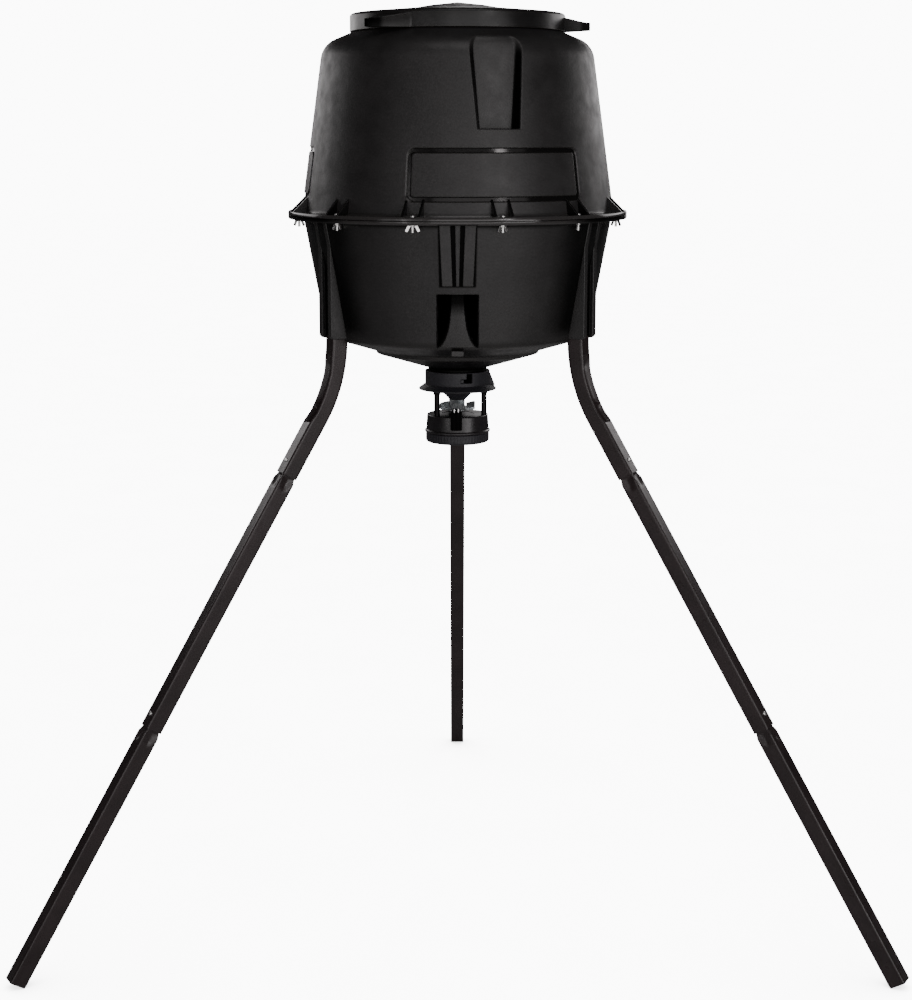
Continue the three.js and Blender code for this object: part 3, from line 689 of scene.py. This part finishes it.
def leg_sockets(flange_low):
    """The boxed columns that hold the leg tops, each with a groove down its outer face."""
    face, back, half = 269, 229, 24
    section = [(back, -half), (face, -half), (face, -12), (face - 7, -11), (face - 7, 11),
               (face, 12), (face, half), (back, half)]
    steps = ((SOCKET_LOW, -5), (SOCKET_LOW + 5, 0), (1240, 0), (flange_low + 1, 9))
    column = lofted([[(x + (shift if x > back else 0), y, height) for x, y in section]
                     for height, shift in steps])
    columns = [facing(column, angle) for angle in LEGS.values()]
    sockets = piece("leg_sockets", columns, "stand", "hopper_plastic", bevel=1.6)

    def groove(degrees, radius, height):
        turn = np.radians(off_centre(degrees * 3, 180) / 3)
        return 0.85 * (np.abs(radius * np.sin(turn)) < 11.6)

    # Painted shade down the groove in each column's outer face
    mark(sockets, "painted_shade", groove)


# ---- Lid ----
GRIP_ANGLES = (-39, 81, 201)
GRIP_ROOT = RIM_RADIUS - 14
GRIP_TIP = RIM_RADIUS + 45


def grip():
    """A finger grip: a face at one end, a straight wall at the other, and hollow underneath."""
    skin = 2.4
    along_roof = np.linspace(RIM_RADIUS - 4, GRIP_TIP - skin, 22)
    out = np.r_[GRIP_ROOT, along_roof, GRIP_TIP - 0.7, GRIP_TIP]
    face = -10 - 3.0 * np.cos((out - GRIP_TIP + 18) / 20) + 1.5 * ease(out, GRIP_TIP - 2, GRIP_TIP)
    corner = np.clip((out - GRIP_TIP + 8) / 8, 0, 1)
    wall = np.minimum(53, 53 - (out - RIM_RADIUS + 8)) - 5 * (1 - np.sqrt(1 - corner ** 2))
    top = 1633 - 10 * ease(out, RIM_RADIUS - 11, GRIP_TIP + 2)
    low = LID_BOTTOM + 0.4
    shares = np.linspace(0, 1, 12)[1:-1]
    rows = []
    for x, start, end, height in zip(out, face, wall, top):
        mid = start + skin + (end - start - 2 * skin) * shares
        across = np.r_[start, start + 0.6, mid, end - 0.6, end]
        upper = height - 0.8 * ((across < start + 0.3) | (across > end - 0.3))
        roof = height - skin if GRIP_ROOT + 6 < x < GRIP_TIP - skin - 0.1 else low
        lower = np.where((across > start + 1) & (across < end - 1), roof, low)
        loop = np.r_[np.c_[across, upper], np.c_[across, lower][::-1]]
        rows.append(np.c_[np.full(len(loop), x), loop])
    return lofted(rows)


def lid():
    """The domed lid, hollow underneath, and its three finger grips."""
    dome = lathe([
        (0, APEX - 3.5), (50, 1652), (82, 1646.5), (140, 1641), (178, 1634.8), (186, 1634.6, 2),
        (188, 1628), (188, LID_BOTTOM), (RIM_RADIUS, LID_BOTTOM, 0.8), (RIM_RADIUS, 1639.5, 5.5),
        (140, 1644, 40), (82, 1649.5, 30), (51, 1655, 20), (0, APEX),
    ], segments=180, steps=10)
    piece("lid_shell", [dome], "lid", "lid_plastic", ["lid"])
    shapes = [facing(grip(), angle) for angle in GRIP_ANGLES]
    grips = piece("lid_grips", shapes, "lid", "lid_plastic", crease=30)
    # Painted shade on the outer end of each grip, over its hollow tip
    mark(grips, "painted_shade", lambda degrees, radius, height: (
        0.85 * ease(radius, 217, 225) * (1 - ease(radius, 237, 240))))


# ---- Flange bolts and wing nuts ----
def fasteners():
    """The flange bolts, and under each its wing nut, turned as it happened to be tightened."""
    nut_top = SPLIT - FLANGE - GAP
    head_low = SPLIT + FLANGE + 2 * GAP
    bolt = lathe([
        (0, nut_top - 12.5), (2.4, nut_top - 12.5, 0.5), (2.4, head_low), (5.0, head_low, 0.4),
        (4.8, head_low + 1.8, 1.6), (0, head_low + 3.2),
    ], segments=24, steps=5)
    hub = lathe([
        (2.6, nut_top - 3.2), (3.8, nut_top - 3.2, 0.6), (4.6, nut_top, 0.4), (2.6, nut_top),
    ], segments=24, steps=4)
    wing = rounded([
        (3.4, nut_top - 0.6, 0.6), (4.2, nut_top - 3.2, 0.8), (8.8, nut_top - 11.6, 1.2),
        (13.2, nut_top - 9.6, 1.2), (8.6, nut_top - 0.6, 1.6),
    ], steps=4)
    wings = [prism(wing * (side, 1), -0.9, 0.9, "xzy") for side in (1, -1)]
    twists = (50, 75, 130, 40, 160, 95, 10, 110, 60, 145, 60, 12)
    for i, (angle, twist) in enumerate(zip(BOLT_ANGLES, twists), start=1):
        place = direction(angle) * BOLT_CIRCLE
        turned_wings = [moved(facing(w, twist + 90), place) for w in wings]
        piece(f"bolt_{i}", [moved(bolt, place)], "stand", "zinc_plate", [f"flange_bolt_{i}"])
        piece(f"nut_{i}", [moved(hub, place), *turned_wings], "stand", "zinc_plate",
              [f"wing_nut_{i}"], bevel=0.4)


# ---- Legs ----
LEAN = math.radians(32.2)
FOOT_RADIUS = 878.1  # where a leg's middle line meets the ground
LEG_RADIUS = 246  # where it stands upright in its column
BEND = 260  # radius of the bend between them
TUBE = 30
TUBE_WALL = 1.8
TUBE_CORNER = 3.2
TAPER = 36  # length over which a swaged top is pressed in
NARROW = 40  # length of the swaged end above that
UPPER_JOINT = bottom_of("upper_leg_back") + TUBE / 2 * math.sin(LEAN)
LOWER_JOINT = bottom_of("middle_leg_back") + TUBE / 2 * math.sin(LEAN)
FOOT_CUT = 6.5  # height of the middle line at the cut end


def leg_centre(height):
    """Radius of the middle line of a leg's straight stretch."""
    return FOOT_RADIUS - math.tan(LEAN) * height


def square_ring(half, corner, count=9):
    """A square section with round corners, anticlockwise, as (outward, sideways) pairs."""
    corners = [(half, -half, corner), (half, half, corner), (-half, half, corner),
               (-half, -half, corner)]
    ring = rounded(corners, steps=5)
    filled = []
    for a, b in zip(ring, np.roll(ring, -1, axis=0)):
        steps = count if np.linalg.norm(b - a) > corner * 2 else 1
        filled += [a + (b - a) * k / steps for k in range(steps)]
    return np.array(filled)


def sweep(stations, dent):
    """A square tube along stations (radius, height, lean, place), open at both ends.

    dent(section, place) presses in the section at a place along the tube.
    """
    half = TUBE / 2
    rows = []
    for size, corner in ((half, TUBE_CORNER), (half - TUBE_WALL, TUBE_CORNER - TUBE_WALL)):
        section = square_ring(size, corner)
        skin = []
        for radius, height, lean, place in stations:
            skin.append([(radius + out * math.cos(lean), side, height + out * math.sin(lean))
                         for out, side in dent(section, place)])
        rows += skin[::-1] if rows else skin
    points = np.concatenate(rows)
    points[:, 2] = np.maximum(points[:, 2], 0)
    return points, grid_faces(len(rows), len(rows[0]), closed=True)


def upper_leg_stations():
    """Down the upright stretch, round the bend and out to the joint. A place is its height."""
    corner_height = (FOOT_RADIUS - LEG_RADIUS) / math.tan(LEAN)
    reach = BEND * math.tan(LEAN / 2)
    centre = (LEG_RADIUS + BEND, corner_height + reach)
    stations = [(LEG_RADIUS, h, 0.0, h) for h in np.linspace(1200, centre[1] + 1, 40)]
    for angle in np.linspace(0, LEAN, 60):
        radius = centre[0] - BEND * math.cos(angle)
        height = centre[1] - BEND * math.sin(angle)
        stations.append((radius, height, angle, height))
    end = stations[-1][1]
    for height in np.linspace(end - 1, UPPER_JOINT, 40):
        stations.append((leg_centre(height), height, LEAN, height))
    return stations


def crush(section, height):
    """The crease that the bending tool leaves in the outward face: one long, one short."""
    top, fold, end = 1054, 964, 926
    long_part = ease(top - height, 0, 26) * ease(height - (fold - 10), 0, 14)
    short_part = ease((fold + 4) - height, 0, 16) * ease(height - end, 0, 3.5)
    depth = max(10.5 * long_part, 9.0 * short_part)
    pulled = 2.6 * ease(top - 8 - height, 0, 30) * ease(height - end, 0, 22)
    out, side = section[:, 0], section[:, 1]
    face = ease(out, 8, 13.2)
    channel = np.clip(1 - (side / 12.5) ** 2, 0, 1) ** 0.8
    return np.c_[out - face * (depth * channel + pulled), side]


def straight_leg(low, high):
    """Up a section to the top of its swaged end. A place is its distance past the taper's foot."""
    length = (high - low) / math.cos(LEAN) - 0.4
    taper_foot = length - TAPER
    distances = np.r_[0, np.linspace(8, taper_foot - 2, 12),
                      np.linspace(taper_foot, length, 24), length + NARROW]
    heights = low + distances * math.cos(LEAN)
    return [(leg_centre(height), height, LEAN, distance - taper_foot)
            for height, distance in zip(heights, distances)]


def pinch(section, past_foot):
    """The swaged top: each face pressed in as a triangle that runs out down the tube."""
    up = np.clip(past_foot / TAPER, 0, 1)
    half = np.abs(section).max()
    out = section.copy()
    for axis in (0, 1):
        other = np.abs(section[:, 1 - axis]) / half
        reach = np.clip(1 - (1 - up) / np.maximum(1 - 0.72 * other, 0.05), 0, 1)
        dimple = 1.6 * ease(up, 0.15, 0.5) * (1 - ease(up, 0.9, 1))
        press = 2.2 * ease(reach, 0, 1) + dimple * np.clip(1 - other * 1.3, 0, 1)
        near = ease(np.abs(section[:, axis]) / half, 0.6, 0.9)
        out[:, axis] -= np.sign(section[:, axis]) * press * near * (up > 0)
    return out


def legs():
    """Three sections of square tube to each leg, with the buttons that lock them."""
    stations = {
        "upper": upper_leg_stations(),
        "middle": straight_leg(LOWER_JOINT, UPPER_JOINT),
        "lower": straight_leg(FOOT_CUT, LOWER_JOINT),
    }
    for part, line in stations.items():
        tube = sweep(line, crush if part == "upper" else pinch)
        for side, angle in LEGS.items():
            piece(f"{part}_tube_{side}", [facing(tube, angle)], "stand", "leg_paint",
                  [f"{part}_leg_{side}"], crease=50)
    for part, joint in (("upper", UPPER_JOINT), ("lower", LOWER_JOINT)):
        leg_buttons(part, joint)


def leg_buttons(part, joint):
    """Domed snap buttons standing out of the outward face, a little above a joint."""
    above = 24
    points, faces = lathe([(0, 9), (3.8, 9), (3.8, 17.2, 1.8), (0, 17.4)], segments=32, steps=5)
    height = joint + above * math.cos(LEAN)
    lean = np.array([[-math.sin(LEAN), 0, math.cos(LEAN)], [0, 1, 0],
                     [math.cos(LEAN), 0, math.sin(LEAN)]])
    placed = points @ lean + (leg_centre(height), 0, height)
    for name, angle in LEGS.items():
        piece(f"{part}_button_{name}", [facing((placed, faces), angle)],
              f"{part}_leg_button_{name}", "zinc_plate", [f"{part}_leg_button_{name}"])


# ---- Quick-lock ring and feed plate ----
SLOT_AT = 16.2  # degrees from each third to the middle of its slot
SLOT_LEVEL = 993  # height of a slot's level part


def lock_ring():
    """The ring on the neck, with three slots that run level and turn up at one end."""
    low, high = bottom_of("lock_ring"), top_of("lock_ring")
    outer = rounded([(56.4, low), (59.4, low, 0.8), (59.4, high, 1.2), (54.2, high)], steps=4)
    outer = along(outer, 1.2, fine=0.5)
    inner = [(53.8, high), (53.8, NECK_BOTTOM + 2.5), (56.4, NECK_BOTTOM), (56.4, low + 1)]
    profile = np.r_[outer, inner]
    angles = np.arange(0, 360, 0.75)

    def shape(degrees, radius, height):
        depth = np.zeros_like(radius)
        for turn in THIRDS:
            off = off_centre(degrees, turn + SLOT_AT)
            up = height - SLOT_LEVEL
            level = ease(10.7 - np.abs(off), -0.5, 0.5) * ease(3.4 - np.abs(up), -0.4, 0.4)
            rise = ease(5.1 - np.abs(off - 5.6), -0.5, 0.5) * ease(up + 3.5, -0.4, 0.4)
            rise = rise * ease(12.5 - up, -0.4, 0.4)
            depth = np.maximum(depth, np.maximum(level, rise))
        return degrees, radius - 2.6 * depth * (radius > 58), height

    ring = revolve(profile, angles, shape=shape)
    rib = [(57.5, 1003), (57.5, low + 1), (59.9, low + 1), (68.3, 977.9), (68.3, 981.5),
           (60.2, 1002)]
    band = piece("lock_ring_body", [ring], "stand", "head_plastic", ["lock_ring"],
                 finish="ring_plastic")
    # Painted shade: black wherever the ring is cut in below its outer face, in the slots and on
    # the inside
    mark(band, "painted_shade", lambda degrees, radius, height: 1 - ease(radius, 57.2, 59.0))
    piece("lock_ring_tab", [facing(prism(rib, -4.5, 4.5, "xzy"), 92)], "stand", "head_plastic",
          bevel=0.8, finish="ring_plastic")


POST_ANGLES = (-47.6, 72.4, 192.4)
POST_CIRCLE = 50.8  # radius of the ring of posts


def feed_plate():
    """The flared plate with its spout and lugs, and the three posts that carry the housing."""
    funnel = lathe([
        (12, SPOUT_BOTTOM), (14.3, SPOUT_BOTTOM, 0.6), (34, 972.2, 3), (70.9, 972.5, 1.0),
        (70.9, 974.6, 1.0), (60, 982.7, 2), (55.4, 982.7), (55.4, 996.2, 0.8), (50, 996.2, 0.8),
        (50, 975.4, 2), (33, 975.4, 2), (12, 954.4, 0.5),
    ], segments=120)
    boss = lathe([(0, 965.2), (6.2, 965.2, 1.0), (6.8, 973.5), (0, 973.5)], segments=32)
    foot = HOUSING_TOP + GAP
    post = lathe([(0, foot), (5.2, foot), (5.0, 968), (0, 968)], segments=32)
    posts = [moved(part, direction(angle) * POST_CIRCLE)
             for angle in POST_ANGLES for part in (boss, post)]
    lug = [(54, -2.6), (58.3, -2.6), (58.3, 2.6), (54, 2.6)]
    lugs = [facing(prism(lug, 990.2, 995.4, "xyz"), turn + 8.5) for turn in THIRDS]
    piece("feed_plate_body", [funnel, *lugs], "head", "head_plastic", ["feed_plate"],
          finish="ring_plastic")
    # Painted shade: the bosses and posts under the plate are painted near black
    mark(piece("feed_plate_posts", posts, "head", "head_plastic"), "painted_shade", 0.8)


# ---- Spinner and timer housing ----
def spinner():
    """A flat disc with four upright vanes, set askew to throw the feed outwards."""
    low = bottom_of("spinner_plate")
    skin = 1.2
    disc = lathe([(2.8, low), (33, low, 0.5), (33, low + skin, 0.5), (2.8, low + skin)],
                 segments=96, steps=3)
    top = top_of("spinner_plate")
    vane = rounded([(-15, low + 0.6), (16, low + 0.6), (16, top, 4), (-15, top, 1.5)], steps=6)
    skew = 33
    skewed = facing(prism(vane, -skin / 2, skin / 2, "yzx"), 90 - skew)
    fins = [facing(moved(skewed, (24, 0, 0)), angle) for angle in (2, 92, 182, 272)]
    piece("spinner_disc", [disc, *fins], "spinner", "galvanised_steel", ["spinner_plate"],
          bevel=0.3)


def housing():
    """The timer housing: a shell with a rim at its foot and a shallow dish under the spinner."""
    low, top = HOUSING_BOTTOM, HOUSING_TOP
    skin = 2.2
    shell = lathe([
        (58, low, 0.5), (60.2, low + 1.6, 1), (60.2, low + 4.2, 1), (57.7, low + 6, 0.8),
        (56, top, 2.2), (30, top, 0.5), (29, top - 0.8, 0.5), (6, top - 0.8, 0.5), (5, top, 0.5),
        (2.8, top), (2.8, top - skin), (53.8, top - skin), (53.8, low),
    ], segments=144)
    piece("timer_housing", [shell], "head", "head_plastic", ["housing_shell"])


def housing_cap():
    """The bottom cap, a cup with a finely fluted side."""
    low, high = bottom_of("housing_cap"), HOUSING_BOTTOM - GAP
    outer = rounded([(0, low), (58.2, low, 4.5), (58.2, high, 0.8), (55.5, high)], steps=6)
    outer = along(outer, 1.6)
    inner = [(55.5, high - 0.5), (55.5, low + 2.5), (0, low + 2.5)]
    profile = np.r_[outer, inner]
    angles = np.arange(0, 360, 0.75)
    flutes, flute_depth = 60, 0.2

    def shape(degrees, radius, height):
        on_side = ease(radius, 56.5, 57.8) * ease(height, low + 3, low + 5)
        on_side = on_side * ease(high - height, 0.8, 1.8)
        fluting = flute_depth * on_side * np.sin(np.radians(degrees * flutes))
        return degrees, radius + fluting, height

    piece("timer_cap", [revolve(profile, angles, closed=False, shape=shape)], "cap",
          "head_plastic", ["housing_cap"], finish="ring_plastic")


def terminal_block():
    """The block on the front of the housing, with three fins and two bright charging posts."""
    low, high = bottom_of("terminal_block") + 0.2, 938
    angle = -2
    half, foot = 10.5, 57.6
    outline = rounded([(-half, low, 3), (half, low, 3), (half, high, 2), (-half, high, 2)])
    hood = rounded([(-8, high - 3), (8, high - 3), (8, high + 5.5, 3), (-8, high + 5.5, 3)])
    fin = [(62, low + 1), (64.6, low + 5), (64.6, high - 3), (62, high - 1)]
    shapes = [prism(outline, foot, 62.4, "yzx"), prism(hood, foot, 59.8, "yzx")]
    shapes += [prism(fin, y - 1, y + 1, "xzy") for y in (-7.4, 0, 7.4)]
    block = piece("charging_block", [facing(shape, angle) for shape in shapes], "head",
                  "head_plastic", ["terminal_block"], bevel=0.6)
    # Painted shade: the whole block is painted near black and reflects nothing
    mark(block, "painted_shade", 0.95)
    post = lathe([(0, high - 1), (1.6, high - 1), (1.6, high + 5.4, 0.6), (0, high + 6)],
                 segments=20, steps=3)
    posts = [facing(moved(post, (61.6, y, 0)), angle) for y in (-3.7, 3.7)]
    piece("charging_posts", posts, "head", "zinc_plate")


# ---- CAD nodes that stay, with their own finishes ----
KEPT_NODES = {
    "seal_rubber": ["lid_seal"],
    "galvanised_steel": ["motor"],
    "zinc_plate": ["motor_shaft", "spinner_nut"],
    "battery_wrap": ["battery_pair_left", "battery_pair_right"],
    "circuit_green": ["circuit_board"],
    "panel_plastic": ["timer_panel"],
    "display_window": ["display"],
    "key_plastic": ["set_button_1", "set_button_2", "set_button_3"],
}


def finish_cad_nodes():
    for slot, names in KEPT_NODES.items():
        for name in names:
            materials = frame["nodes"][name].data.materials
            materials.clear()
            materials.append(MATERIALS[slot])


# ---- Studio ----
FULL_WHITE = 11  # brightness that shows as white
LIGHT_COLOUR = (1.0, 0.97, 0.975)
AIM_HEIGHT = 1.35  # metres up, at the middle of the hopper

# Degrees from the front, distance and height in metres, width and height of the box, and watts.
SOFTBOXES = {
    "front_key": (4, 3.8, 1.2, 3.0, 2.2, 36),
    "front_left": (-36, 3.8, 1.2, 2.0, 2.2, 10),
    "left_strip": (-34, 3.8, 1.1, 0.14, 2.2, 4),
    "front_right": (38, 3.8, 1.2, 1.8, 2.2, 14),
    "flange_glint": (40, 3.8, 1.12, 1.7, 0.3, 13),
    "top_soft": (10, 1.7, 3.6, 2.0, 1.4, 16),
    "panel_glint": (32, 3.8, 2.4, 0.5, 0.25, 8),
    "left_edge": (-134, 2.6, 1.86, 2.8, 0.7, 14),
    "right_edge": (137, 2.6, 1.86, 2.6, 0.7, 14),
    "back_soft": (168, 3.0, 1.9, 1.4, 1.8, 6),
}


def backdrop():
    """A plain pale floor with soft contact shadows, which fades into the white round it."""
    nodes = Nodes("studio_floor")
    tree = nodes.tree
    shade = nodes.add("ShaderNodeAmbientOcclusion", {"Distance": 0.35}, samples=8)
    brightness = nodes.scaled(shade.outputs["AO"], FULL_WHITE * 0.25, FULL_WHITE, 0.3, 0.95)
    colour = nodes.mixed(nodes.scaled(nodes.noise(300), 0, 1), (0.97, 0.97, 0.97), (1, 1, 1))
    seen = nodes.add("ShaderNodeEmission", {"Color": colour, "Strength": brightness})
    dull = nodes.add("ShaderNodeBsdfDiffuse", {"Color": (0.65, 0.65, 0.65, 1)})
    rays = nodes.add("ShaderNodeLightPath")
    mix = nodes.add("ShaderNodeMixShader", {0: rays.outputs["Is Camera Ray"]})
    tree.links.new(dull.outputs[0], mix.inputs[1])
    tree.links.new(seen.outputs[0], mix.inputs[2])
    tree.links.new(mix.outputs[0], tree.nodes["Material Output"].inputs["Surface"])
    tree.nodes.remove(nodes.shader)
    mesh = bpy.data.meshes.new("floor")
    reach = 30
    corners = [(-reach, -reach, 0), (reach, -reach, 0), (reach, reach, 0), (-reach, reach, 0)]
    mesh.from_pydata(corners, [], [(0, 1, 2, 3)])
    floor = bpy.data.objects.new("floor", mesh)
    floor.location.z = -0.0005
    mesh.materials.append(nodes.material)
    bpy.context.scene.collection.objects.link(floor)


def softbox(name, azimuth, distance, height, width, tall, power):
    """A soft light at an angle from the front, aimed at the middle of the hopper."""
    data = bpy.data.lights.new(name, "AREA")
    data.shape = "RECTANGLE"
    data.size, data.size_y = width, tall
    data.energy = power
    data.color = LIGHT_COLOUR
    light = bpy.data.objects.new(name, data)
    middle = Vector((0, AXIS[1] * MM, AIM_HEIGHT))
    light.location = Vector(direction(azimuth)) * distance + Vector((0, AXIS[1] * MM, height))
    light.rotation_euler = (middle - light.location).to_track_quat("-Z", "Y").to_euler()
    light.visible_camera = False
    bpy.context.scene.collection.objects.link(light)


def world():
    """A surround that is white to the camera, and nearly dark to everything else."""
    studio = bpy.data.worlds.new("studio")
    studio.use_nodes = True
    tree = studio.node_tree
    tree.nodes.clear()
    mix = tree.nodes.new("ShaderNodeMixShader")
    for place, strength in ((1, 0.03), (2, FULL_WHITE)):
        background = tree.nodes.new("ShaderNodeBackground")
        background.inputs["Color"].default_value = (1, 1, 1, 1)
        background.inputs["Strength"].default_value = strength
        tree.links.new(background.outputs[0], mix.inputs[place])
    rays = tree.nodes.new("ShaderNodeLightPath")
    tree.links.new(rays.outputs["Is Camera Ray"], mix.inputs[0])
    out = tree.nodes.new("ShaderNodeOutputWorld")
    tree.links.new(mix.outputs[0], out.inputs[0])
    bpy.context.scene.world = studio


def camera():
    """The main view: level with the hopper, looking slightly down."""
    data = bpy.data.cameras.new("camera")
    data.lens = 66.8
    eye = bpy.data.objects.new("camera", data)
    eye.location = (-0.0027, AXIS[1] * MM - 3.391, 1.4375)
    eye.rotation_euler = (math.radians(90 - 11.25), 0, 0)
    bpy.context.scene.collection.objects.link(eye)
    bpy.context.scene.camera = eye


camera()
upper_hopper()
lower_hopper()
lid()
fasteners()
legs()
lock_ring()
feed_plate()
spinner()
housing()
housing_cap()
terminal_block()
finish_cad_nodes()
backdrop()
world()
for light_name, settings in SOFTBOXES.items():
    softbox(light_name, *settings)
